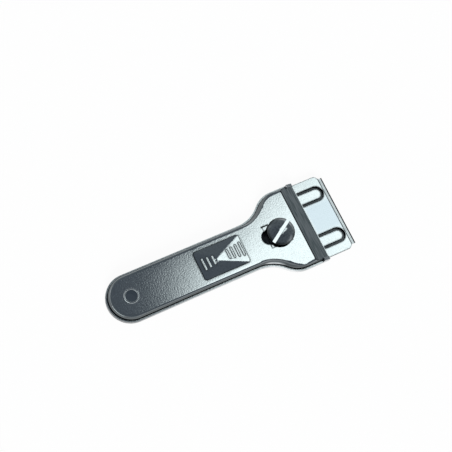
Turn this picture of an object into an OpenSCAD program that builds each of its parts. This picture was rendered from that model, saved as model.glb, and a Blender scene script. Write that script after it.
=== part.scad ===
// Razor blade scraper: two nested pressed shells that hold a sliding, screw-clamped blade carrier.
// X runs from the tail to the blade, Z is up, and the tool lies on the floor of its lower shell.
// Lengths along X are measured from the axis of the tail eyelet unless a comment says otherwise.

/* [Blade] */
// Length of the cutting edge
blade_len = 38.1; // [32:0.1:50]
// From the cutting edge to the back of the spine
blade_depth = 19; // [18:0.5:22]
// Thickness of the blade
blade_t = 0.25; // [0.2:0.05:0.5]
// Width of the ground bevel
bevel_w = 2.1; // [0.8:0.1:2.4]
// Depth of the folded spine, along X
spine_depth = 5; // [4:0.5:6]
// Thickness over the folded spine
spine_t = 0.9; // [0.7:0.05:1.3]
// Length of the notch in each end of the blade, along X
notch_len = 3.2; // [2:0.1:4]
// Depth of that notch, along the blade
notch_depth = 1.6; // [0.8:0.1:2.4]
// How far the edge stands out of the apron
blade_out = 2.4; // [1:0.1:4]

/* [Shells] */
// Thickness of the pressed sheet
sheet = 0.8; // [0.6:0.05:1]
// Height of the two shells together
body_h = 7; // [6.6:0.1:9]
// Height of the lower shell's rim
rim_h = 3.8; // [3:0.1:4.4]
// Width of the handle over the upper shell
handle_w = 22.4; // [19:0.2:26]
// Outer radius of the bend round the roof
bend_r = 2; // [1.4:0.1:2.4]
// Outer radius of the bend round the floor
floor_bend_r = 1.6; // [1.2:0.1:2]
// From the eyelet to the start of the neck's curve
neck_x = 64.4; // [60:0.2:80]
// Radius of the hollow curve at the neck
neck_r = 20; // [14:0.5:26]
// Radius of the full curve at the shoulder
shoulder_r = 13.6; // [10:0.2:18]
// Straight side of the head, behind the nose
shoulder_len = 4; // [3:0.2:10]
// Length of the sloping nose
nose_run = 8.3; // [6:0.1:10]
// Length of the flat apron in front of the nose
apron_len = 14.7; // [14.6:0.1:19]
// Radius of the apron's front corners
apron_corner_r = 3; // [1:0.1:5]
// Inner radius of the two creases of the nose
crease_r = 0.8; // [0.3:0.1:1.5]
// How far the lower shell's lugs fold in over the nose
lug_lap = 0.8; // [0.5:0.1:2]
// Length of those lugs along the nose
lug_len = 4; // [2:0.1:5]

/* [Apron tongues] */
// Width of each lanced tongue
tongue_w = 5; // [3:0.1:6]
// Width of the cut round the tongue
tongue_cut = 1.6; // [0.8:0.1:1.8]
// Length of the cut, along X
tongue_len = 13.7; // [12:0.1:13.8]
// Metal left between the cut and the apron's front
tongue_setback = 0.6; // [0.5:0.1:1.6]
// From the side of the apron to the middle of the tongue
tongue_inset = 8.9; // [7:0.1:11]

/* [Thumb rest] */
// From the eyelet to the rear edge of the rest
rest_x = 36.3; // [20:0.1:38]
// Length of the rest
rest_len = 25; // [22:0.1:26]
// Width of the rest
rest_w = 15.1; // [12:0.1:16]
// Height of its crest over the roof
rest_h = 1.9; // [1.2:0.1:3]
// From its rear edge to the crest
rest_crest = 9.8; // [9:0.1:13]
// Height of the step round its edge
rest_step = 0.3; // [0.2:0.05:0.5]
// Radius of its corners
rest_corner_r = 1.2; // [0.6:0.1:2]
// Radius of the ball that rounds the crest
crest_r = 10; // [6:0.5:14]
// Grip bars behind the crest
rear_bars = 3; // [1:1:3]
// From the rear edge to the first of them
rear_bar_x = 2.75; // [2:0.05:3.2]
// Length of the first of them
rear_bar_len = 6.8; // [5:0.1:8]
// Change of length from each to the next
rear_bar_step = -0.8; // [-1:0.1:0]
// Grip bars in front of the crest
front_bars = 4; // [1:1:4]
// From the front edge to the last of them
front_bar_x = 1.4; // [1.2:0.05:2]
// Length of the last of them
front_bar_len = 7.9; // [6:0.1:9]
// Change of length from each to the one behind
front_bar_step = -0.8; // [-1:0.1:0]
// Spacing of the bars
bar_pitch = 2.55; // [2.2:0.05:2.6]
// Radius of a bar's round top
bar_r = 0.75; // [0.5:0.05:0.9]
// How far a bar stands out
bar_proud = 0.42; // [0.2:0.02:0.48]
// How much is pressed flat off a bar's round top
bar_flat = 0.1; // [0.04:0.02:0.14]

/* [Clamp] */
// From the screw back to the nose when the blade is out
screw_setback = 10.1; // [9.5:0.1:12]
// Travel of the blade
travel = 6.3; // [4:0.1:7]
// Width of the slot in the roof
slot_w = 8; // [7.4:0.1:9]
// Diameter of the screw's head
head_d = 14.2; // [13:0.1:17]
// Height of the head's straight edge
head_edge = 1.2; // [0.5:0.1:1.5]
// Rise of the head's dome over that edge
head_dome = 2.2; // [1.4:0.1:2.6]
// Height of the boss under the head
boss_h = 0.9; // [0.5:0.1:1.5]
// How far the head overhangs that boss
boss_inset = 0.9; // [0.4:0.1:1.2]
// Width of the coin slot
coin_slot_w = 1.7; // [1.2:0.1:2.2]
// Depth of the coin slot under the top of the dome
coin_slot_depth = 2.6; // [1:0.1:2.8]
// Turn of the coin slot from the X axis
coin_slot_turn = 32; // [-90:1:90]
// Diameter of the screw's shank
shank_d = 5; // [4:0.1:5.6]
// Diameter of the bush under the roof
bush_d = 11; // [9.8:0.1:13]
// Wall of the bush's spigot in the carrier
spigot_wall = 1; // [0.6:0.1:1.6]
// Width of the pressed seat under the head
seat_w = 11.8; // [9.6:0.1:12.4]
// How far that seat reaches behind the screw
seat_back = 7.5; // [7:0.1:9.5]
// How far that seat reaches in front of the screw
seat_front = 4.5; // [4.2:0.1:5.5]
// Depth of that seat
seat_depth = 0.2; // [0.1:0.05:0.3]
// Width of the slit along the seat's left side
slit_w = 0.5; // [0.3:0.05:0.8]
// Length of that slit
slit_len = 3.6; // [2:0.1:5]
// Depth of the nick in the slot's right side
nick_depth = 0.95; // [0.5:0.05:1.2]

/* [Carrier] */
// Thickness of the carrier plate
carrier_t = 1; // [0.8:0.05:1.3]
// Width of the carrier's tail
carrier_tail_w = 15; // [12:0.2:16]
// How far the tail reaches behind the screw
carrier_tail = 9; // [7:0.2:12]
// How far the carrier ends behind the apron's front
carrier_setback = 3; // [1:0.2:5]

/* [Hang hole] */
// Bore of the eyelet
hang_d = 5.8; // [4:0.1:7]
// Wall of the eyelet's barrel
eyelet_wall = 0.45; // [0.3:0.05:0.6]
// Width of the eyelet's rolled rim
roll_w = 1; // [0.8:0.05:1.4]
// Wall of the spacer round the eyelet
spacer_wall = 1.2; // [0.8:0.1:2]
// Slope of the pressed dimple round the lower rim, along its radius
dimple_slope = 0.8; // [0.4:0.1:1.5]

/* [Clearances] */
// Between the nested walls of the shells
nest_gap = 0.15; // [0.1:0.05:0.3]
// Over and under what slides
run_gap = 0.1; // [0.08:0.01:0.2]
// Beside what slides
side_run_gap = 0.2; // [0.1:0.05:0.4]
// From each end of the blade to the upper shell's wall
blade_end_gap = 1.05; // [0.9:0.05:1.6]
// Between the bush and the sides of the slot
guide_gap = 0.2; // [0.1:0.05:0.3]
// Between the screw's shank and the bush, on the radius
shank_gap = 0.05; // [0.03:0.01:0.08]
// Round the eyelet, the spigot and the spine, where they seat
seat_gap = 0.05; // [0.02:0.01:0.1]

/* [Hidden] */
$fn = 96;
// Overlap that joins a swept rim to its plate
lap = 1;
// Reach of a cut past what it cuts
over = 2;
// How far a face stops short of the one it runs into
tuck = 0.1;
// Flats round the bend of the roof
bend_flats = 6;
// Steps along a curve drawn as points
arc_steps = 12;

// Levels, from the floor up
carrier_z = sheet + run_gap;
blade_z = carrier_z + carrier_t;
blade_top = blade_z + blade_t;
spine_over = (spine_t - blade_t) / 2;
apron_under = blade_top + spine_over + run_gap;
apron_top = apron_under + sheet;
roof_under = body_h - sheet;
wall_foot = floor_bend_r + run_gap;

// Plan of the upper shell's outer face
half_handle = handle_w / 2;
half_head = blade_len / 2 + blade_end_gap + sheet;
flare_angle = round(1000 * acos(1 - (half_head - half_handle) / (neck_r + shoulder_r))) / 1000;
flare_r = (half_head - half_handle) / (1 - cos(flare_angle));
turn_r = flare_r - neck_r;
shoulder_x = neck_x + flare_r * sin(flare_angle);
neck_centre = [neck_x, half_handle + neck_r];
shoulder_centre = [shoulder_x, half_head - turn_r];
flare_middle = neck_centre + neck_r * [sin(flare_angle), -cos(flare_angle)];
// The splice: what the curves stop short by, half its length, and what it is thinner by on each face
splice_turn = 0.03;
splice_len = 0.4;
splice_skin = 0.03;
wrap = nest_gap + sheet;

// Stations along X
nose_x = shoulder_x + shoulder_len;
nose_end = nose_x + nose_run;
apron_front = nose_end + apron_len;
edge_x = apron_front + blade_out;
spine_back = edge_x - blade_depth;
spine_front = spine_back + spine_depth;
screw_x = nose_x - screw_setback;
nose_angle = atan((body_h - apron_top) / nose_run);
crease_x = nose_x - (crease_r + sheet) * tan(nose_angle / 2);
tail_x = -half_handle - wrap;
middle_x = (edge_x + tail_x) / 2;

// The tongues bend down in front of the spine until they nearly touch the blade
tongue_gap = run_gap / 2;
tongue_half = half_head - tongue_inset;
tongue_tip = apron_front - tongue_setback - tongue_cut;
tongue_root = apron_front - tongue_setback - tongue_len;
tongue_bend = spine_front + side_run_gap;
tongue_dip = asin((apron_under - blade_top - tongue_gap) / (tongue_tip - tongue_bend));

// The eyelet and what it holds
roll_r = roll_w / 2;
barrel_r = hang_d / 2 + eyelet_wall;
eyelet_hole_r = barrel_r + seat_gap;
dimple_h = roll_r + run_gap;
dimple_r = hang_d / 2 + roll_w + 2 * seat_gap;

// The clamp
bore_r = shank_d / 2 + shank_gap;
spigot_r = bore_r + spigot_wall;
collar_r = slot_w / 2 - guide_gap;
dome_r = (pow(head_d / 2, 2) + pow(head_dome, 2)) / (2 * head_dome);
boss_z = body_h + run_gap / 2;
head_z = boss_z + boss_h;
head_top = head_z + head_edge + head_dome;

// The carrier's wide part stays in the straight part of the head over its whole travel
carrier_half = half_head - sheet - side_run_gap;
carrier_front = apron_front - carrier_setback;
carrier_wide_x = shoulder_x + travel + side_run_gap;
groove_half = blade_len / 2 + side_run_gap / 2;

// Puts the middle of the tool's footprint at the origin
module in_frame() translate([-middle_x, 0, 0]) children();

module both_sides() {
    children();
    mirror([0, 1, 0]) children();
}

// Stands a profile drawn in X and Z across the tool, centred on it
module across(width) rotate([90, 0, 0]) linear_extrude(width, center = true) children();

// Runs a profile drawn in Y and Z along the tool
module along(from, to) place([from, 0, 0]) rotate([90, 0, 90]) linear_extrude(to - from) children();

// Moves in a coarse and a fine step, so that neighbours on a sweep meet exactly
module place(at) {
    coarse = [for (v = at) round(100 * v) / 100];
    translate(coarse) translate(at - coarse) children();
}

// Part of a flat ring
module ring_sector(inner, outer, from, sweep) {
    reach = 2 * outer;
    intersection() {
        difference() {
            circle(outer);
            circle(inner);
        }
        polygon([[0, 0], reach * [cos(from), sin(from)], reach * [cos(from + sweep), sin(from + sweep)]]);
    }
}

// Points of a circle's arc, from one angle to another
function arc(centre, radius, from, to) =
    [for (i = [0 : arc_steps]) let (a = from + (to - from) * i / arc_steps) centre + radius * [cos(a), sin(a)]];

// One side of a shell's plan, from the middle of the tail to a station, drawn in from the upper shell's face
function side_line(inset, front) = concat(
    arc([0, 0], half_handle - inset, 180, 90),
    arc(neck_centre, neck_r + inset, -90, flare_angle - 90),
    arc(shoulder_centre, turn_r - inset, 90 + flare_angle, 90),
    [[front, half_head - inset], [front, 0]]);

// Flat middle of a shell, which ends inside the flat of its swept rim
module plan(inset, front) both_sides() polygon(side_line(inset, front));

// Sweeps a wall's section round the tail, the handle, the flare and the head.
// The section's X runs inwards from the upper shell's outer face. Its curves stop a hair short of each
// other in the middle of the flare, where a thinner section, the second one, splices them.
module sweep_wall(front) {
    rotate([0, 0, 90]) rotate_extrude(angle = 180) facing(half_handle) children(0);
    both_sides() {
        along(0, neck_x) facing(half_handle) children(0);
        place(neck_centre) rotate([0, 0, -90]) rotate_extrude(angle = flare_angle - splice_turn)
            place([neck_r, 0]) children(0);
        place(shoulder_centre) rotate([0, 0, 90]) rotate_extrude(angle = flare_angle - splice_turn)
            facing(turn_r) children(0);
        translate(flare_middle) rotate([0, 0, flare_angle]) along(-splice_len, splice_len)
            facing(0) children(1);
        along(shoulder_x, front) facing(half_head) children(0);
    }
}

module facing(distance) place([distance, 0]) mirror([1, 0]) children();

// Section of a quarter bend in narrow flats, as a press brake leaves it
module bend_section(inner, outer) {
    turns = [for (i = [0 : bend_flats]) [cos(90 + 90 * i / bend_flats), sin(90 + 90 * i / bend_flats)]];
    polygon([for (i = [0 : bend_flats]) outer * turns[i], for (i = [bend_flats : -1 : 0]) inner * turns[i]]);
}

// Section of the upper shell's wall: a foot, a bend and the start of the roof, thinner by a skin on each face
module roof_wall(skin = 0) {
    translate([skin, wall_foot + skin]) square([sheet - 2 * skin, body_h - bend_r - wall_foot - skin]);
    translate([bend_r, body_h - bend_r]) bend_section(bend_r - sheet + skin, bend_r - skin);
    translate([bend_r, roof_under + skin]) square([lap, sheet - 2 * skin]);
}

// Section of the lower shell's wall: the start of the floor, a bend and a rim, thinner by a skin on each face
module floor_wall(skin = 0) translate([-wrap, 0]) {
    translate([skin, floor_bend_r]) square([sheet - 2 * skin, rim_h - floor_bend_r - skin]);
    translate([floor_bend_r, floor_bend_r])
        ring_sector(floor_bend_r - sheet + skin, floor_bend_r - skin, 180, 90);
    translate([floor_bend_r, skin]) square([lap, sheet - 2 * skin]);
}

// Side view of the sheet that steps down over the nose to the apron
module nose_strip() {
    outer = crease_r + sheet;
    rear = crease_x - lap;
    top_centre = [crease_x, body_h - outer];
    low_centre = [nose_end + crease_r * tan(nose_angle / 2), apron_top + crease_r];
    polygon(concat([[rear, roof_under], [rear, body_h]],
        arc(top_centre, outer, 90, 90 - nose_angle),
        arc(low_centre, crease_r, -90 - nose_angle, -90),
        [[apron_front, apron_top], [apron_front, apron_under]],
        arc(low_centre, outer, -90, -90 - nose_angle),
        arc(top_centre, crease_r, 90 - nose_angle, 90)));
}

// Front view of the head inside its walls' outer face, with the roof's bends at its corners
module head_view() {
    half = half_head - tuck;
    corner_y = half_head - bend_r;
    translate([-half, 0]) square([2 * half, body_h - bend_r]);
    translate([-corner_y, 0]) square([2 * corner_y, body_h]);
    for (side = [-1, 1]) translate([side * corner_y, body_h - bend_r]) circle(bend_r - tuck);
}

// Plan of the nose and apron, with the apron's round corners
module apron_plan() {
    rear = crease_x - lap;
    corner_y = half_head - apron_corner_r;
    translate([rear, -half_head]) square([apron_front - apron_corner_r - rear, 2 * half_head]);
    translate([rear, -corner_y]) square([apron_front - rear, 2 * corner_y]);
    for (side = [-1, 1]) translate([apron_front - apron_corner_r, side * corner_y]) circle(apron_corner_r);
}

// Plan of a tongue with a round tip
module tongue_plan(root, tip, width) {
    translate([root, -width / 2]) square([tip - width / 2 - root, width]);
    translate([tip - width / 2, 0]) circle(width / 2);
}

// Tongue that bends down over the blade
module tongue() {
    under_bend = tongue_bend - sheet * tan(tongue_dip / 2);
    rear = tongue_root - lap;
    drop = [cos(tongue_dip), -sin(tongue_dip)] * (tongue_tip + over - tongue_bend);
    intersection() {
        across(tongue_w + over) polygon([[rear, apron_under], [rear, apron_top], [tongue_bend, apron_top],
            [tongue_bend, apron_top] + drop, [under_bend, apron_under] + drop, [under_bend, apron_under]]);
        linear_extrude(body_h) tongue_plan(rear, tongue_tip, tongue_w);
    }
}

// Nose and apron, with the two tongues lanced out of the apron
module front_sheet() {
    difference() {
        intersection() {
            across(2 * half_head + over) nose_strip();
            linear_extrude(body_h) apron_plan();
            along(crease_x - lap, apron_front) head_view();
        }
        both_sides() translate([0, tongue_half, apron_under - over]) linear_extrude(sheet + 2 * over)
            tongue_plan(tongue_root, tongue_tip + tongue_cut, tongue_w + 2 * tongue_cut);
    }
    both_sides() translate([0, tongue_half, 0]) tongue();
}

// What the walls lose over the slope of the nose
module over_nose() across(2 * half_head + over) polygon([[crease_x - lap / 2, body_h + tuck],
    [nose_x, body_h - tuck], [nose_end, apron_top - tuck], [nose_end + over, apron_top - tuck],
    [nose_end + over, body_h + over], [crease_x - lap / 2, body_h + over]]);

// Plain form of the thumb rest: a step, and faces that rise to a rounded crest
module rest_form() {
    corner_y = rest_w / 2 - rest_corner_r;
    cap = rest_h / 6;
    hull() {
        for (x = [rest_corner_r, rest_len - rest_corner_r], y = [-corner_y, corner_y])
            translate([rest_x + x, y, -sheet / 2]) cylinder(r = rest_corner_r, h = sheet / 2 + rest_step, $fn = 32);
        translate([rest_x + rest_crest, 0, 0]) intersection() {
            translate([0, 0, rest_h - crest_r]) sphere(crest_r, $fn = 64);
            translate([-crest_r, -crest_r, rest_h - cap]) cube([2 * crest_r, 2 * crest_r, cap]);
        }
    }
}

// Height of the rest's face at a distance from one of its edges to the crest
function face_height(distance, to_crest) = rest_step + (rest_h - rest_step) * min(1, distance / to_crest);

// Grip bar across the tool, a round rod with ball ends and a flat top
module grip_bar(length) {
    straight = length - 2 * bar_r;
    difference() {
        translate([0, 0, bar_proud - bar_r]) rotate([90, 0, 0]) rotate_extrude() intersection() {
            union() {
                translate([0, -straight / 2]) square([bar_r, straight]);
                for (end = [-1, 1]) translate([0, end * straight / 2]) circle(bar_r);
            }
            translate([0, -length]) square([2 * bar_r, 2 * length]);
        }
        translate([-over, -length, bar_proud - bar_flat]) cube([2 * over, 2 * length, over]);
    }
}

module grip_bars() {
    for (i = [0 : rear_bars - 1]) {
        x = rear_bar_x + i * bar_pitch;
        translate([rest_x + x, 0, face_height(x, rest_crest)]) grip_bar(rear_bar_len + i * rear_bar_step);
    }
    for (i = [0 : front_bars - 1]) {
        x = front_bar_x + i * bar_pitch;
        translate([rest_x + rest_len - x, 0, face_height(x, rest_len - rest_crest)])
            grip_bar(front_bar_len + i * front_bar_step);
    }
}

// The slot that guides the bush, with a nick and a slit beside it, and the shallow seat round it
module clamp_opening() {
    translate([0, 0, roof_under - over]) linear_extrude(sheet + 2 * over) {
        translate([screw_x - travel, -slot_w / 2]) square([travel, slot_w]);
        for (x = [screw_x - travel, screw_x]) translate([x, 0]) circle(slot_w / 2);
        translate([screw_x - seat_back, seat_w / 2]) square([slit_len, slit_w]);
        translate([screw_x - seat_back, seat_w / 2 + slit_w / 4]) circle(slit_w);
        translate([screw_x - seat_back, -slot_w / 2 - nick_depth]) square([slit_w, slot_w / 2 + nick_depth]);
    }
    translate([screw_x - seat_back, -seat_w / 2, body_h - seat_depth])
        cube([seat_back + seat_front, seat_w, seat_depth + over]);
}

module top_shell() color("Gainsboro") in_frame() {
    difference() {
        union() {
            difference() {
                sweep_wall(nose_end) {
                    roof_wall();
                    roof_wall(splice_skin);
                }
                over_nose();
            }
            translate([0, 0, roof_under]) linear_extrude(sheet) plan(bend_r + lap / 2, crease_x - lap / 2);
            front_sheet();
            translate([0, 0, body_h]) rest_form();
            translate([0, 0, body_h]) grip_bars();
        }
        translate([0, 0, roof_under]) rest_form();
        clamp_opening();
        translate([0, 0, roof_under - over]) cylinder(r = eyelet_hole_r, h = sheet + 2 * over);
    }
}

// Lug of the lower shell, folded in over the slope of the nose
module nose_lug() {
    lug_end = nose_end - seat_gap;
    along_slope = [nose_run, apron_top - body_h] / norm([nose_run, body_h - apron_top]);
    up_slope = [-along_slope[1], along_slope[0]];
    low = [nose_end, apron_top] + seat_gap * (up_slope - along_slope);
    high = low - lug_len * along_slope;
    rotate([90, 0, 0]) {
        translate([0, 0, -half_head - wrap]) linear_extrude(wrap + lug_lap)
            polygon([low, high, high + sheet * up_slope, low + sheet * up_slope]);
        translate([0, 0, -half_head - wrap]) linear_extrude(sheet)
            polygon([[high[0], rim_h - lap], [lug_end, rim_h - lap], low + sheet * up_slope, high + sheet * up_slope]);
    }
}

module bottom_tray() color("Silver") in_frame() {
    difference() {
        union() {
            sweep_wall(nose_end + lap) {
                floor_wall();
                floor_wall(splice_skin);
            }
            linear_extrude(sheet) plan(floor_bend_r - wrap + lap / 2, nose_end + lap);
            cylinder(r1 = dimple_r + dimple_slope + sheet, r2 = dimple_r + sheet, h = dimple_h + sheet);
            both_sides() nose_lug();
        }
        translate([nose_end, -half_head - over, -over]) cube([2 * lap, 2 * (half_head + over), body_h + over]);
        cylinder(r1 = dimple_r + dimple_slope, r2 = dimple_r, h = dimple_h);
        cylinder(r = eyelet_hole_r, h = body_h);
    }
}

// Barrel with a rim rolled over each shell
module tail_eyelet() color("WhiteSmoke") in_frame() {
    inner = hang_d / 2;
    rotate_extrude() difference() {
        union() {
            translate([inner, dimple_h]) square([eyelet_wall, body_h - dimple_h]);
            for (z = [dimple_h, body_h]) translate([inner + roll_r, z]) circle(roll_r);
        }
        translate([barrel_r, dimple_h]) square([over, body_h - dimple_h]);
    }
}

module tail_spacer() color("DarkGray") in_frame() {
    foot = dimple_h + sheet;
    translate([0, 0, foot]) difference() {
        cylinder(r = eyelet_hole_r + spacer_wall, h = roof_under - foot);
        translate([0, 0, -over]) cylinder(r = eyelet_hole_r, h = body_h);
    }
}

// Plan of the carrier: a tail under the screw that widens to a seat for the blade
module carrier_plan() {
    tail_half = carrier_tail_w / 2;
    widen = carrier_half - tail_half;
    both_sides() polygon([[screw_x - carrier_tail, 0], [screw_x - carrier_tail, tail_half],
        [carrier_wide_x - widen, tail_half], [carrier_wide_x, carrier_half],
        [carrier_front, carrier_half], [carrier_front, 0]]);
}

module blade_carrier() color("LightSteelBlue") in_frame() {
    difference() {
        translate([0, 0, carrier_z]) linear_extrude(carrier_t) carrier_plan();
        translate([screw_x, 0, 0]) cylinder(r = spigot_r + seat_gap, h = body_h);
        translate([spine_back - seat_gap, -groove_half, blade_z - spine_over - seat_gap])
            cube([spine_depth + 2 * seat_gap, 2 * groove_half, body_h]);
    }
    // Ears that keep the blade in the middle
    both_sides() translate([spine_back, groove_half, blade_z])
        cube([spine_depth, carrier_half - groove_half, blade_t + spine_over - run_gap]);
}

module threaded_bush() color("DarkGoldenrod") in_frame() translate([screw_x, 0, 0]) {
    difference() {
        union() {
            translate([0, 0, carrier_z]) cylinder(r = spigot_r, h = carrier_t);
            translate([0, 0, blade_z]) cylinder(d = bush_d, h = roof_under - run_gap - blade_z);
            translate([0, 0, roof_under - run_gap]) cylinder(r = collar_r, h = sheet);
        }
        cylinder(r = bore_r, h = body_h);
    }
}

module clamp_screw() color("DimGray") in_frame() translate([screw_x, 0, 0]) {
    difference() {
        union() {
            intersection() {
                translate([0, 0, head_top - dome_r]) sphere(dome_r);
                translate([0, 0, head_z]) cylinder(d = head_d, h = head_edge + head_dome);
            }
            translate([0, 0, boss_z]) cylinder(d = head_d - 2 * boss_inset, h = boss_h + head_edge / 2);
            translate([0, 0, blade_z]) cylinder(d = shank_d, h = head_z + head_edge / 2 - blade_z);
        }
        rotate(coin_slot_turn) translate([-head_d, -coin_slot_w / 2, head_top - coin_slot_depth])
            cube([2 * head_d, coin_slot_w, coin_slot_depth + over]);
    }
}

// Blade with a bevel on both faces of its edge, and a notch in each end
module razor_blade() color("Lavender") in_frame() {
    back = spine_back + spine_over;
    notch_x = spine_front + seat_gap;
    difference() {
        across(blade_len) polygon([[back, blade_z], [edge_x - bevel_w, blade_z],
            [edge_x, blade_z + blade_t / 2], [edge_x - bevel_w, blade_top], [back, blade_top]]);
        both_sides() translate([notch_x, blade_len / 2 - notch_depth, blade_z - over])
            cube([notch_len, notch_depth + over, blade_t + 2 * over]);
    }
}

// Strip folded over the back of the blade
module blade_spine() color("SlateGray") in_frame() {
    fold_r = spine_t / 2;
    middle = [spine_back + fold_r, blade_z + blade_t / 2];
    across(blade_len) difference() {
        union() {
            translate(middle) circle(fold_r);
            translate(middle - [0, fold_r]) square([spine_depth - fold_r, spine_t]);
        }
        translate([spine_back + spine_over, blade_z]) square([spine_depth, blade_t]);
    }
}

top_shell();
bottom_tray();
tail_eyelet();
tail_spacer();
blade_carrier();
threaded_bush();
clamp_screw();
razor_blade();
blade_spine();
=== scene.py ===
import math

import bpy
from mathutils import Matrix, Vector


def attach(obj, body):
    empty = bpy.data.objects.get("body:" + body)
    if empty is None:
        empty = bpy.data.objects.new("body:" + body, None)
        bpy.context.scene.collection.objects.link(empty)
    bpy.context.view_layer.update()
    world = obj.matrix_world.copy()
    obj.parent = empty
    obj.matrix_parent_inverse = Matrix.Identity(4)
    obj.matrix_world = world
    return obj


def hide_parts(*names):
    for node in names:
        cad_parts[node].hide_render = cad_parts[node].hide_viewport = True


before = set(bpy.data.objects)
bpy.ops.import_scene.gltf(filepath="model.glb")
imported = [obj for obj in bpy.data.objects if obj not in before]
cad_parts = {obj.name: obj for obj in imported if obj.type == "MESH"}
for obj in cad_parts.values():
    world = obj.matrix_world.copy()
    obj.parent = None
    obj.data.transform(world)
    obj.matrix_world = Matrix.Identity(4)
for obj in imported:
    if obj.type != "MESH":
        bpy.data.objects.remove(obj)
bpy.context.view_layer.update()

MM = 0.001

# Directions and stations of the tool, from the middle of its underside

ALONG = (1, 0, 0)
ACROSS = (0, 1, 0)
UP = (0, 0, 1)
TAIL_CENTRE = -52.6 * MM
ROOF = 7 * MM
ROOF_BEND = 2 * MM


# Small helpers for the bench

POINTS_MEET = 0.002 * MM
SEAM_WELD = 0.04 * MM
FLAT_WITHIN = math.radians(0.3)


def deselect():
    if bpy.context.object and bpy.context.object.mode != "OBJECT":
        bpy.ops.object.mode_set(mode="OBJECT")
    bpy.ops.object.select_all(action="DESELECT")


def take(piece):
    """Makes a piece the only one in hand."""
    deselect()
    piece.select_set(True)
    bpy.context.view_layer.objects.active = piece


def select_flare_seam(piece):
    """Leaves only the points of the bend selected where the two curves of the flare meet."""
    seam_start, seam_end = 25 * MM, 29 * MM
    seam_side = 13.5 * MM
    above_wall = 5.05 * MM
    bpy.ops.mesh.select_all(action="DESELECT")
    bpy.ops.object.mode_set(mode="OBJECT")
    for point in piece.data.vertices:
        x, y, z = point.co
        point.select = seam_start < x < seam_end and abs(y) > seam_side and z > above_wall
    bpy.ops.object.mode_set(mode="EDIT")


def copy_of_node(node, name, seamed=False):
    """A solid's mesh as one welded sheet, free to be eased and bevelled."""
    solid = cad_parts[node]
    piece = solid.copy()
    piece.data = solid.data.copy()
    piece.name = piece.data.name = name
    piece.parent = None
    for key in list(piece.keys()):
        del piece[key]
    bpy.context.scene.collection.objects.link(piece)
    take(piece)
    bpy.ops.mesh.customdata_custom_splitnormals_clear()
    bpy.ops.object.mode_set(mode="EDIT")
    bpy.ops.mesh.select_all(action="SELECT")
    bpy.ops.mesh.remove_doubles(threshold=POINTS_MEET)
    if seamed:
        bpy.ops.mesh.select_mode(type="VERT")
        select_flare_seam(piece)
        bpy.ops.mesh.remove_doubles(threshold=SEAM_WELD)
        bpy.ops.mesh.select_all(action="SELECT")
    bpy.ops.mesh.dissolve_limited(angle_limit=FLAT_WITHIN)
    bpy.ops.object.mode_set(mode="OBJECT")
    return piece


def ease_edges(piece, width, angle=35, segments=2, smooth=30):
    """Breaks the sharp edges and lets the flats keep their own normals."""
    take(piece)
    bevel = piece.modifiers.new("eased_edges", "BEVEL")
    bevel.width = width
    bevel.segments = segments
    bevel.limit_method = "ANGLE"
    bevel.angle_limit = math.radians(angle)
    bevel.use_clamp_overlap = True
    bpy.ops.object.modifier_apply(modifier=bevel.name)
    bpy.ops.object.shade_smooth_by_angle(angle=math.radians(smooth))
    weighted = piece.modifiers.new("flat_faces_first", "WEIGHTED_NORMAL")
    weighted.mode = "FACE_AREA"
    weighted.weight = 80
    weighted.keep_sharp = True
    bpy.ops.object.modifier_apply(modifier=weighted.name)
    return piece


def dress(piece, body, slot, material, *nodes):
    piece.data.materials.clear()
    piece.data.materials.append(material)
    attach(piece, body)
    if nodes:
        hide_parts(*nodes)
    return piece


# Steps of a finish: each adds to a node tree and gives back what it made

def new_material(name):
    material = bpy.data.materials.new(name)
    material.use_nodes = True
    return material, material.node_tree, material.node_tree.nodes["Principled BSDF"]


def object_noise(tree, stretch, scale, detail):
    """Noise on Object coordinates, stretched along the tool or not."""
    place = tree.nodes.new("ShaderNodeTexCoord")
    mapping = tree.nodes.new("ShaderNodeMapping")
    mapping.inputs["Scale"].default_value = stretch
    noise = tree.nodes.new("ShaderNodeTexNoise")
    noise.inputs["Scale"].default_value = scale
    noise.inputs["Detail"].default_value = detail
    tree.links.new(place.outputs["Object"], mapping.inputs["Vector"])
    tree.links.new(mapping.outputs["Vector"], noise.inputs["Vector"])
    return noise.outputs["Fac"]


def ramp(tree, source, low, high, first=0.3, last=0.7):
    """Runs from one colour to another as a value goes from first to last."""
    made = tree.nodes.new("ShaderNodeValToRGB")
    made.color_ramp.elements[0].position = first
    made.color_ramp.elements[0].color = (*low, 1)
    made.color_ramp.elements[1].position = last
    made.color_ramp.elements[1].color = (*high, 1)
    tree.links.new(source, made.inputs["Fac"])
    return made.outputs["Color"]


def between(tree, source, low, high):
    """Runs from nothing to one as a value goes from low to high."""
    made = tree.nodes.new("ShaderNodeMapRange")
    made.inputs["From Min"].default_value = low
    made.inputs["From Max"].default_value = high
    tree.links.new(source, made.inputs["Value"])
    return made.outputs["Result"]


def spread(tree, source, low, high):
    """Spreads the middle half of a noise over a range."""
    made = tree.nodes.new("ShaderNodeMapRange")
    made.inputs["From Min"].default_value = 0.25
    made.inputs["From Max"].default_value = 0.75
    made.inputs["To Min"].default_value = low
    made.inputs["To Max"].default_value = high
    tree.links.new(source, made.inputs["Value"])
    return made.outputs["Result"]


def bump(tree, source, shader, depth):
    made = tree.nodes.new("ShaderNodeBump")
    made.inputs["Strength"].default_value = 1
    made.inputs["Distance"].default_value = depth
    tree.links.new(source, made.inputs["Height"])
    tree.links.new(made.outputs["Normal"], shader.inputs["Normal"])


def crevice(tree, reach, start=0.75, full=0.3, own=True):
    """One in shut-in corners and hollows, as ambient occlusion finds them, nothing on open faces: the mask
    for painted shade.
    """
    shut_in = tree.nodes.new("ShaderNodeAmbientOcclusion")
    shut_in.samples = 6
    shut_in.only_local = own
    shut_in.inputs["Distance"].default_value = reach
    return between(tree, shut_in.outputs["AO"], start, full)


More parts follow.
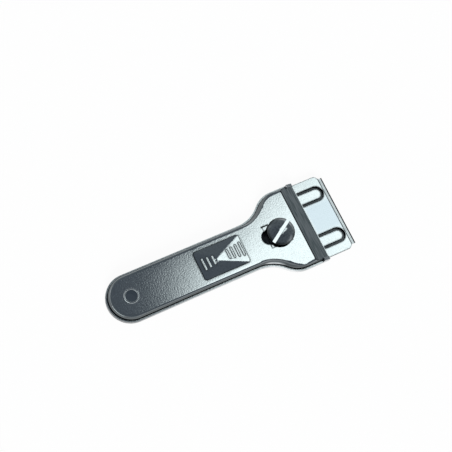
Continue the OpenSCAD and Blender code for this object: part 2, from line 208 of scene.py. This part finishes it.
def along_edges(tree, width, start=0.99, full=0.86):
    """One along the edges and creases, where the surface turns within a width."""
    rounded = tree.nodes.new("ShaderNodeBevel")
    rounded.samples = 4
    rounded.inputs["Radius"].default_value = width
    surface = tree.nodes.new("ShaderNodeNewGeometry")
    turn = tree.nodes.new("ShaderNodeVectorMath")
    turn.operation = "DOT_PRODUCT"
    tree.links.new(rounded.outputs["Normal"], turn.inputs[0])
    tree.links.new(surface.outputs["Normal"], turn.inputs[1])
    return between(tree, turn.outputs["Value"], start, full)


def blend(tree, share, first, second):
    """Mixes two colours, each a socket or a plain colour."""
    made = tree.nodes.new("ShaderNodeMix")
    made.data_type = "RGBA"
    tree.links.new(share, made.inputs["Factor"])
    for name, colour in (("A", first), ("B", second)):
        if isinstance(colour, tuple):
            made.inputs[name].default_value = (*colour, 1)
        else:
            tree.links.new(colour, made.inputs[name])
    return made.outputs["Result"]


def arithmetic(tree, operation, first, second):
    made = tree.nodes.new("ShaderNodeMath")
    made.operation = operation
    for i, value in enumerate((first, second)):
        if isinstance(value, (int, float)):
            made.inputs[i].default_value = value
        else:
            tree.links.new(value, made.inputs[i])
    return made.outputs["Value"]


def both(tree, first, second):
    """One only where both are one."""
    return arithmetic(tree, "MULTIPLY", first, second)


def place_along(tree, direction, low, high):
    """Runs from nothing to one between two stations along a direction of the tool."""
    place = tree.nodes.new("ShaderNodeTexCoord")
    along = tree.nodes.new("ShaderNodeVectorMath")
    along.operation = "DOT_PRODUCT"
    along.inputs[1].default_value = direction
    tree.links.new(place.outputs["Object"], along.inputs[0])
    return between(tree, along.outputs["Value"], low, high)


def reach_along(tree, direction, rise, fall):
    """One on a reach of the tool, between the stations where it fades in and out."""
    return both(tree, place_along(tree, direction, *rise), place_along(tree, direction, *fall))


def facing(tree, axis, low, high):
    """Runs from nothing to one as a face turns along an axis of the tool."""
    place = tree.nodes.new("ShaderNodeTexCoord")
    split = tree.nodes.new("ShaderNodeSeparateXYZ")
    tree.links.new(place.outputs["Normal"], split.inputs["Vector"])
    return between(tree, split.outputs[axis], low, high)


def base_of(material):
    """A material's node tree and shader, and the colour that it has so far."""
    tree = material.node_tree
    shader = tree.nodes["Principled BSDF"]
    return tree, shader, shader.inputs["Base Color"].links[0].from_socket


# Finishes

EVEN = (1, 1, 1)
PIT_DARK = (0.02, 0.022, 0.024)
# Colour of the darkening in corners: painted shade with some grime.
GRIME_AND_SHADE_DARK = (0.015, 0.018, 0.02)
# Colour and strength of the painted shade lines along creases and edges.
SHADE_LINE_DARK = (0.03, 0.035, 0.04)
SHADE_LINE_STRENGTH = 0.92
DULL_GLINT = (0.3, 0.3, 0.3, 1)
PLATE = ((0.80, 0.83, 0.84), (0.90, 0.92, 0.93))
# Dark steel that stands in for shade, on the blade's body and the spine.
SHADE_DARK_STEEL = ((0.07, 0.075, 0.08), (0.10, 0.105, 0.11))


def metal(name, shades, rough, grain, depth, stretch=EVEN, grime_and_shade=0.8, worn=None, pits=0.15, own=True):
    """A metal with clouded colour, fine pits, rub marks, darkening in its corners that is painted shade with
    some grime, and rubbed edges.
    """
    cloud_scale, rub_scale = 70, 2600
    rub_dulls, grime_dulls = 0.05, 0.4
    material, tree, shader = new_material(name)
    shader.inputs["Metallic"].default_value = 1
    colour = ramp(tree, object_noise(tree, EVEN, cloud_scale, 4), *shades)
    rubs = object_noise(tree, (0.04, 1, 1), rub_scale, 2)
    rubs_and_painted_reflection = ramp(tree, rubs, (0, 0, 0), (1, 1, 1), 0.6, 0.75)
    speckle = object_noise(tree, stretch, grain, 2)
    pitted = both(tree, between(tree, speckle, 0.55, 0.3), pits)
    colour = blend(tree, pitted, colour, PIT_DARK)
    if worn:
        colour = blend(tree, along_edges(tree, 0.3 * MM), colour, worn)
    corner_reach = 0.7 * MM if own else 3 * MM
    # Darkening in shut-in corners: painted shade with some grime.
    dirt_and_shade = both(tree, crevice(tree, corner_reach, own=own), grime_and_shade)
    colour = blend(tree, dirt_and_shade, colour, GRIME_AND_SHADE_DARK)
    tree.links.new(colour, shader.inputs["Base Color"])
    gloss = spread(tree, speckle, *rough)
    gloss = arithmetic(tree, "ADD", gloss, both(tree, rubs_and_painted_reflection, rub_dulls))
    gloss = arithmetic(tree, "ADD", gloss, both(tree, dirt_and_shade, grime_dulls))
    tree.links.new(gloss, shader.inputs["Roughness"])
    bump(tree, speckle, shader, depth)
    return material


def streak_step(tree, colour):
    """Draw marks across the sloping step in front of the roof."""
    streaks = object_noise(tree, (1, 0.08, 1), 1500, 4)
    drawn = ramp(tree, streaks, (0.46, 0.53, 0.53), (1, 1, 1), 0.36, 0.56)
    from_step = place_along(tree, ALONG, 36 * MM, 36.5 * MM)
    return blend(tree, both(tree, facing(tree, "X", 0.2, 0.35), from_step), colour, drawn)


def paint_apron_reflection(tree, colour, near_middle):
    """A painted reflection: a darker, bluer middle of the apron."""
    apron_middle = both(tree, near_middle, place_along(tree, ALONG, 47.5 * MM, 49 * MM))
    return blend(tree, apron_middle, colour, (0.66, 0.71, 0.76))


def line_creases(tree, colour, near_middle):
    """Painted shade: dark lines along creases and edges, in the foot of steps, along the apron's edges,
    across the top of the step and at the apron's front, left off the rear bars so that they stay bright.
    """
    rear_bars = reach_along(tree, ALONG, (-15 * MM, -14.4 * MM), (-7 * MM, -7.6 * MM))
    # The rear bars near the middle, where the painted shade lines are left off.
    bars_left_unlined = both(tree, rear_bars, near_middle)
    crease = along_edges(tree, 0.6 * MM, 0.995, 0.96)
    crease = both(tree, crease, arithmetic(tree, "SUBTRACT", 1, bars_left_unlined))
    foot = crevice(tree, 1.2 * MM, 0.97, 0.87)
    on_apron = place_along(tree, ALONG, 48 * MM, 48.5 * MM)
    apron_edge = both(tree, along_edges(tree, 0.9 * MM, 0.995, 0.95), on_apron)
    top_of_step = place_along(tree, ALONG, 40.3 * MM, 39.9 * MM)
    nose_line = both(tree, facing(tree, "X", 0.12, 0.3), top_of_step)
    at_front = place_along(tree, ALONG, 61.75 * MM, 62.1 * MM)
    front_line = both(tree, facing(tree, "Z", 0.9, 0.98), at_front)
    # Each of these lines is painted shade.
    for line in (crease, foot, apron_edge, nose_line, front_line):
        colour = blend(tree, both(tree, line, SHADE_LINE_STRENGTH), colour, SHADE_LINE_DARK)
    return colour


def paint_wall_shade(tree, colour):
    """Painted shade on the walls and steep bends, a painted reflection that makes the near side of the neck
    bright, and painted shade darkest on the front of the thumb rest.
    """
    # Painted shade: walls and steep bends darker than the faces that lie up.
    colour = blend(tree, facing(tree, "Z", 0.9, 0.7), colour, (0.15, 0.165, 0.17))
    neck = reach_along(tree, ALONG, (15 * MM, 18 * MM), (25 * MM, 22 * MM))
    near_neck = both(tree, neck, place_along(tree, ACROSS, -4 * MM, -8 * MM))
    neck_wall = both(tree, near_neck, place_along(tree, UP, 6.1 * MM, 5.6 * MM))
    # Painted reflection: the near walls of the neck brighter.
    colour = blend(tree, neck_wall, colour, (0.72, 0.75, 0.76))
    behind_step = reach_along(tree, ALONG, (-6.8 * MM, -6.3 * MM), (36 * MM, 35.5 * MM))
    front_flank = both(tree, facing(tree, "X", 0.1, 0.25), behind_step)
    # Painted shade: the faces turned towards the head on the thumb rest darkest.
    return blend(tree, front_flank, colour, (0.05, 0.055, 0.06))


def bright_plate():
    """Bright on the faces that lie up, with a streaked step, a painted bluish reflection on the apron,
    painted shade along creases and on the walls, and a painted reflection on the near side of the neck.
    """
    material = metal("bright_plate", PLATE, (0.05, 0.09), 1750, 0.016 * MM, pits=0.2)
    tree, shader, colour = base_of(material)
    near_middle = reach_along(tree, ACROSS, (-11 * MM, -6 * MM), (11 * MM, 6 * MM))
    colour = streak_step(tree, colour)
    colour = paint_apron_reflection(tree, colour, near_middle)
    colour = line_creases(tree, colour, near_middle)
    colour = paint_wall_shade(tree, colour)
    tree.links.new(colour, shader.inputs["Base Color"])
    shader.inputs["Specular Tint"].default_value = DULL_GLINT
    return material


def eyelet_plate():
    return metal("eyelet_plate", PLATE, (0.06, 0.12), 1800, 0.003 * MM, grime_and_shade=0.3)


def tray_plate():
    """Dull plate painted dark as shade, bright on the cut rim, with a painted reflection that makes the
    outer wall brighter towards the head and brightest at the neck.
    """
    # Dark colour painted as shade, for the dark reflections and shade round the tray.
    shades = ((0.065, 0.07, 0.075), (0.085, 0.09, 0.095))
    material = metal("tray_plate", shades, (0.2, 0.34), 1100, 0.02 * MM, worn=(0.42, 0.44, 0.45))
    tree, shader, colour = base_of(material)
    wall = both(tree, facing(tree, "Z", 0.6, 0.3), facing(tree, "Z", -0.6, -0.3))
    # Painted reflection: the outer wall brighter towards the head.
    rubs_and_painted_reflection = both(tree, wall, place_along(tree, ALONG, -75 * MM, -20 * MM))
    colour = blend(tree, rubs_and_painted_reflection, colour, (0.55, 0.57, 0.58))
    neck = reach_along(tree, ALONG, (15 * MM, 19 * MM), (32 * MM, 28 * MM))
    # Painted reflection: the outer wall brightest at the neck.
    colour = blend(tree, both(tree, wall, neck), colour, (0.85, 0.87, 0.88))
    rim = both(tree, facing(tree, "Z", 0.7, 0.9), place_along(tree, UP, 2.8 * MM, 3.2 * MM))
    colour = blend(tree, rim, colour, (0.74, 0.77, 0.78))
    tree.links.new(colour, shader.inputs["Base Color"])
    return material


def rolled_steel():
    shades = ((0.50, 0.51, 0.52), (0.60, 0.61, 0.62))
    # Darkened in corners and where other parts come within 3 mm: painted shade with some grime.
    return metal("rolled_steel", shades, (0.28, 0.4), 1500, 0.02 * MM, (0.1, 1, 1), grime_and_shade=1, own=False)


# Steel painted dark as shade, for the spine seen through the tongue cuts.
def shade_dark_steel():
    return metal("shade_dark_steel", SHADE_DARK_STEEL, (0.25, 0.38), 1800, 0.02 * MM, (1, 0.1, 1))


def screw_plate():
    """Bright on the dome, with a painted highlight on the slot's floor and painted shade on the slot's walls
    and round the rim.
    """
    shades = ((0.64, 0.67, 0.68), (0.78, 0.80, 0.81))
    material = metal("screw_plate", shades, (0.06, 0.11), 1100, 0.018 * MM, grime_and_shade=0.2, pits=0.4)
    tree, shader, colour = base_of(material)
    # Painted highlight: the slot's floor brighter than the dome.
    slot_highlight = place_along(tree, UP, 8.95 * MM, 8.85 * MM)
    colour = blend(tree, slot_highlight, colour, (0.92, 0.94, 0.95))
    # Painted shade: the slot's walls and the rim dark.
    wall = facing(tree, "Z", 0.89, 0.83)
    colour = blend(tree, wall, colour, (0.10, 0.11, 0.11))
    tree.links.new(colour, shader.inputs["Base Color"])
    shader.inputs["Specular Tint"].default_value = DULL_GLINT
    return material


def blade_steel():
    """A body painted dark as shade for what shows through the tongue cuts, a ground bevel with lines square
    to the edge, and a dark line painted as shade along the edge.
    """
    material = metal("blade_steel", SHADE_DARK_STEEL, (0.22, 0.32), 2500, 0.01 * MM, (1, 0.1, 1))
    tree, shader, colour = base_of(material)
    lines = object_noise(tree, (0.03, 1, 1), 5000, 2)
    ground = ramp(tree, lines, (0.66, 0.68, 0.69), (0.88, 0.90, 0.91))
    bevel = place_along(tree, ALONG, 62.66 * MM, 62.72 * MM)
    colour = blend(tree, bevel, colour, ground)
    # Painted shade: a dark line along the edge.
    edge_shade = place_along(tree, ALONG, 64.05 * MM, 64.2 * MM)
    colour = blend(tree, edge_shade, colour, (0.02, 0.022, 0.025))
    tree.links.new(colour, shader.inputs["Base Color"])
    return material


# Pieces

def square_up_bend(piece):
    """Presses the bend round the roof fuller along the handle and head, and softer where the neck flares."""
    full_bend, softened = 0.55, 1.05
    flare_start, flare_fades_in = 10 * MM, 8 * MM
    flare_end, flare_fades_out = 33 * MM, 5 * MM
    tail_fades_in = 20 * MM
    clear_of_middle = 8 * MM
    before_step = 38.5 * MM
    least_turn = 0.02
    for point in piece.data.vertices:
        x, y, z = point.co
        from_middle = math.hypot(min(x - TAIL_CENTRE, 0), y)
        on_bend = ROOF - ROOF_BEND < z < ROOF - 0.01 * MM and from_middle > clear_of_middle
        outward = Vector((point.normal.x, point.normal.y, 0))
        wall_or_flat = point.normal.z < least_turn or outward.length < least_turn
        if not on_bend or wall_or_flat or x > before_step:
            continue
        rise = (z - ROOF + ROOF_BEND) / ROOF_BEND
        reach = math.sqrt(1 - rise * rise)
        share = min(max((x - TAIL_CENTRE) / tail_fades_in, 0), 1)
        into_flare = (x - flare_start) / flare_fades_in
        out_of_flare = (flare_end - x) / flare_fades_out
        flare = min(max(min(into_flare, out_of_flare), 0), 1)
        fullness = full_bend + softened * flare
        step_out = outward.normalized() * (reach ** fullness - reach)
        point.co += (step_out + Vector((0, 0, rise ** fullness - rise))) * ROOF_BEND * share


def pressed_top_shell(material):
    piece = copy_of_node("top_shell", "pressed_top_shell", seamed=True)
    square_up_bend(piece)
    ease_edges(piece, 0.18 * MM)
    return dress(piece, "handle", "plated_shell", material, "top_shell")


def pressed_tray(material):
    piece = copy_of_node("bottom_tray", "pressed_tray")
    ease_edges(piece, 0.12 * MM)
    return dress(piece, "handle", "plated_tray", material, "bottom_tray")


def rolled_eyelet(material):
    piece = copy_of_node("tail_eyelet", "rolled_eyelet")
    ease_edges(piece, 0.05 * MM)
    return dress(piece, "handle", "eyelet", material, "tail_eyelet")


def spacer_sleeve(material):
    piece = copy_of_node("tail_spacer", "spacer_sleeve")
    ease_edges(piece, 0.08 * MM)
    return dress(piece, "handle", "inner_steel", material, "tail_spacer")


def carrier_plate(material):
    piece = copy_of_node("blade_carrier", "carrier_plate")
    ease_edges(piece, 0.08 * MM)
    return dress(piece, "carriage", "inner_steel", material, "blade_carrier")


def turned_bush(material):
    piece = copy_of_node("threaded_bush", "turned_bush")
    ease_edges(piece, 0.1 * MM)
    return dress(piece, "carriage", "bush", material, "threaded_bush")


def coin_slot_screw(material):
    piece = copy_of_node("clamp_screw", "coin_slot_screw")
    ease_edges(piece, 0.4 * MM, segments=3)
    return dress(piece, "screw", "screw", material, "clamp_screw")


def single_edge_blade(material):
    piece = copy_of_node("razor_blade", "single_edge_blade")
    ease_edges(piece, 0.01 * MM, angle=60)
    return dress(piece, "carriage", "blade", material, "razor_blade")


def folded_spine(material):
    piece = copy_of_node("blade_spine", "folded_spine")
    ease_edges(piece, 0.05 * MM)
    return dress(piece, "carriage", "blade_back", material, "blade_spine")


# Stage

WHITE = (1.0, 1.0, 1.0)


def beside_tool(tree):
    """Nothing on the patch of floor under the hang hole, where a shadow is painted, and one elsewhere."""
    place = tree.nodes.new("ShaderNodeTexCoord")
    flat = tree.nodes.new("ShaderNodeVectorMath")
    flat.operation = "MULTIPLY"
    flat.inputs[1].default_value = (1, 1, 0)
    tree.links.new(place.outputs["Object"], flat.inputs[0])
    away = tree.nodes.new("ShaderNodeVectorMath")
    away.operation = "DISTANCE"
    away.inputs[1].default_value = (TAIL_CENTRE, 0, 0)
    tree.links.new(flat.outputs["Vector"], away.inputs[0])
    return between(tree, away.outputs["Value"], 7 * MM, 9 * MM)


def mix_shaders(tree, share, first, second):
    made = tree.nodes.new("ShaderNodeMixShader")
    tree.links.new(share, made.inputs["Fac"])
    tree.links.new(first, made.inputs[1])
    tree.links.new(second, made.inputs[2])
    return made.outputs["Shader"]


def floor_paint():
    """White to the camera and in mirrors, with a share of the shadow kept, a shadow painted under the hang
    hole, and clear from below.
    """
    # Colour of the shadow painted on the floor under the hang hole.
    painted_shadow_under_hole = (0.040, 0.052, 0.066)
    white_share = 0.96
    material, tree, shader = new_material("white_floor")
    shader.inputs["Base Color"].default_value = (0.9, 0.9, 0.9, 1)
    shader.inputs["Roughness"].default_value = 0.9
    shader.inputs["Specular IOR Level"].default_value = 0.1
    white = tree.nodes.new("ShaderNodeEmission")
    tree.links.new(blend(tree, beside_tool(tree), painted_shadow_under_hole, WHITE), white.inputs["Color"])
    path = tree.nodes.new("ShaderNodeLightPath")
    seen = arithmetic(tree, "MAXIMUM", path.outputs["Is Camera Ray"], path.outputs["Is Glossy Ray"])
    seen = arithmetic(tree, "MAXIMUM", seen, path.outputs["Is Transmission Ray"])
    share = arithmetic(tree, "MULTIPLY", seen, white_share)
    from_above = mix_shaders(tree, share, shader.outputs["BSDF"], white.outputs["Emission"])
    face = tree.nodes.new("ShaderNodeNewGeometry")
    clear = tree.nodes.new("ShaderNodeBsdfTransparent")
    paint = mix_shaders(tree, face.outputs["Backfacing"], from_above, clear.outputs["BSDF"])
    tree.links.new(paint, tree.nodes["Material Output"].inputs["Surface"])
    return material


def white_floor():
    deselect()
    bpy.ops.mesh.primitive_plane_add(size=3, location=(0, 0, -0.02 * MM))
    floor = bpy.context.object
    floor.name = "white_floor"
    floor.data.materials.append(floor_paint())


def fade_panel(light, left, top):
    """Lets the panel's face fade in from its left and top edges, between shares of its width and height."""
    light.use_nodes = True
    tree = light.node_tree
    face = tree.nodes.new("ShaderNodeNewGeometry")
    split = tree.nodes.new("ShaderNodeSeparateXYZ")
    tree.links.new(face.outputs["Parametric"], split.inputs["Vector"])
    shares = []
    for axis, (low, high) in (("X", left), ("Y", top)):
        share = tree.nodes.new("ShaderNodeMapRange")
        share.interpolation_type = "SMOOTHSTEP"
        share.inputs["From Min"].default_value = low
        share.inputs["From Max"].default_value = high
        tree.links.new(split.outputs[axis], share.inputs["Value"])
        shares.append(share.outputs["Result"])
    tree.links.new(both(tree, *shares), tree.nodes["Emission"].inputs["Strength"])


def soft_panel(name, place, aim, size, turn, brightness):
    """A soft box whose face is as bright as asked, turned in its own plane."""
    light = bpy.data.lights.new(name, "AREA")
    light.shape = "RECTANGLE"
    light.size, light.size_y = size
    light.energy = brightness * math.pi * size[0] * size[1]
    light.color = (0.90, 1.0, 0.99)
    lamp = bpy.data.objects.new(name, light)
    back = (Vector(place) - Vector(aim)).normalized()
    side = Vector((math.cos(math.radians(turn)), math.sin(math.radians(turn)), 0))
    side = (side - back * side.dot(back)).normalized()
    frame_of_lamp = Matrix((side, back.cross(side), back)).transposed().to_4x4()
    lamp.matrix_world = Matrix.Translation(place) @ frame_of_lamp
    bpy.context.scene.collection.objects.link(lamp)
    return lamp


def room():
    """A dim ceiling over a room that is brighter behind the camera and low down, white to the camera."""
    ceiling, lower_room, pale_wall = (0.066, 0.080, 0.096), (0.11, 0.13, 0.14), (0.52, 0.55, 0.57)
    ahead_of_camera = (0.766, 0.643, 0)
    world = bpy.data.worlds.new("room")
    bpy.context.scene.world = world
    world.use_nodes = True
    tree = world.node_tree
    direction = tree.nodes.new("ShaderNodeTexCoord")
    split = tree.nodes.new("ShaderNodeSeparateXYZ")
    tree.links.new(direction.outputs["Generated"], split.inputs["Vector"])
    height = split.outputs["Z"]
    ahead = tree.nodes.new("ShaderNodeVectorMath")
    ahead.operation = "DOT_PRODUCT"
    ahead.inputs[1].default_value = ahead_of_camera
    tree.links.new(direction.outputs["Generated"], ahead.inputs[0])
    colour = blend(tree, between(tree, height, 0.95, 0.3), ceiling, lower_room)
    behind = between(tree, ahead.outputs["Value"], 0.45, 0.1)
    rear_wall = both(tree, between(tree, height, 0.66, 0.46), behind)
    horizon = between(tree, height, 0.32, 0.12)
    for share in (rear_wall, horizon):
        colour = blend(tree, share, colour, pale_wall)
    path = tree.nodes.new("ShaderNodeLightPath")
    colour = blend(tree, path.outputs["Is Camera Ray"], colour, WHITE)
    tree.links.new(colour, tree.nodes["Background"].inputs["Color"])


def near_lamp():
    """A soft sun from the near side that no metal mirrors."""
    light = bpy.data.lights.new("near_lamp", "SUN")
    light.energy = 3.6
    light.angle = math.radians(25)
    lamp = bpy.data.objects.new("near_lamp", light)
    lamp.rotation_euler = Vector((-0.35, -0.75, 0.56)).to_track_quat("Z", "Y").to_euler()
    lamp.visible_glossy = False
    bpy.context.scene.collection.objects.link(lamp)


def lights():
    panel = soft_panel("front_panel", place=(0.944, 0.357, 1.727), aim=(0, 0, 0), size=(1.149, 0.602),
                       turn=23, brightness=1.1)
    fade_panel(panel.data, left=(0.025, 0.15), top=(1, 0.73))
    strip = soft_panel("edge_strip", place=(0.525, 0.01, 1.93), aim=(0, 0, 0), size=(0.197, 0.48),
                       turn=0, brightness=0.95)
    fade_panel(strip.data, left=(0, 0.45), top=(1, 0.9))
    soft_panel("tail_panel", place=(-1.25, -0.45, 0.5), aim=(-0.05, 0, 0), size=(1.3, 0.3),
               turn=-70, brightness=1.5)
    near_lamp()


def camera():
    place = (-0.175536, -0.118211, 0.555903)
    data = bpy.data.cameras.new("camera")
    data.sensor_width = 36
    data.lens = 95.6
    data.clip_start, data.clip_end = 0.01, 10
    made = bpy.data.objects.new("camera", data)
    look = Vector((0.305395, 0.222589, -0.925844)).normalized()
    right = Vector((0.878723, -0.440460, 0.183957))
    right = (right - look * right.dot(look)).normalized()
    up = right.cross(look)
    turn = Matrix((right, up, -look)).transposed().to_4x4()
    made.matrix_world = Matrix.Translation(place) @ turn
    bpy.context.scene.collection.objects.link(made)
    bpy.context.scene.camera = made


def main():
    rolled = rolled_steel()
    pressed_top_shell(bright_plate())
    pressed_tray(tray_plate())
    rolled_eyelet(eyelet_plate())
    spacer_sleeve(rolled)
    carrier_plate(rolled)
    turned_bush(rolled)
    coin_slot_screw(screw_plate())
    single_edge_blade(blade_steel())
    folded_spine(shade_dark_steel())
    white_floor()
    room()
    lights()
    camera()
    bpy.context.scene.view_settings.view_transform = "Standard"


main()
